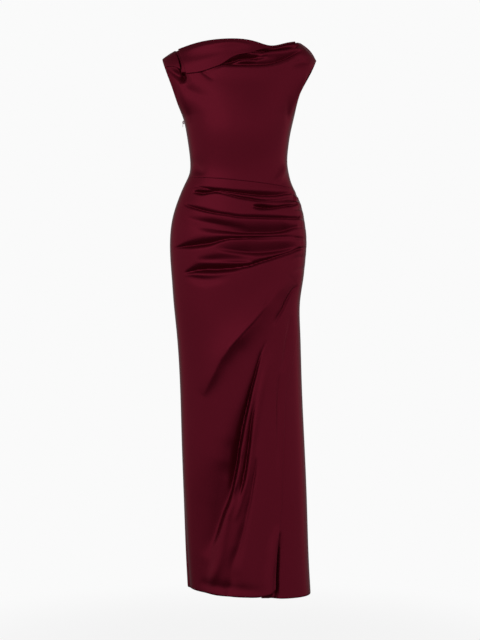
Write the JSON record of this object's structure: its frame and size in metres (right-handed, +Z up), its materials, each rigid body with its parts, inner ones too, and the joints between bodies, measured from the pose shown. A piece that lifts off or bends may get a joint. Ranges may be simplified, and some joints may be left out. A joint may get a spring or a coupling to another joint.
{
  "type": "satin dress",
  "caption": "Full-length satin dress with a folded boat neck, a gathered hip and a lapped skirt front, hollow as when worn.",
  "frame": {"origin": "midway between the shoulder seams, in the plane of the side seams, at the height of the right shoulder seam's neck end", "axes": "+Z up along the dress's length, from hem to shoulders; -Y out of the front; +X towards the wearer's left"},
  "size_m": [0.4115, 0.2629, 1.4655],
  "materials": {
    "satin": "deep burgundy heavy satin with a soft sheen",
    "zip_metal": "dark lacquered metal"
  },
  "bodies": {
    "dress": {"bodice_front": "satin", "bodice_back": "satin", "neck_flap": "satin", "back_collar": "satin", "skirt_front": "satin", "skirt_back": "satin", "side_panel": "satin", "zip_slider": "zip_metal"},
    "pull": {"zip_pull": "zip_metal"}
  },
  "joints": [
    {"name": "pull_swing", "type": "hinge", "parent": "dress", "child": "pull", "pos_m": [-0.14849, 0, -0.18599], "axis": [0, 1, 0], "range_deg": [-10, 150]}
  ]
}
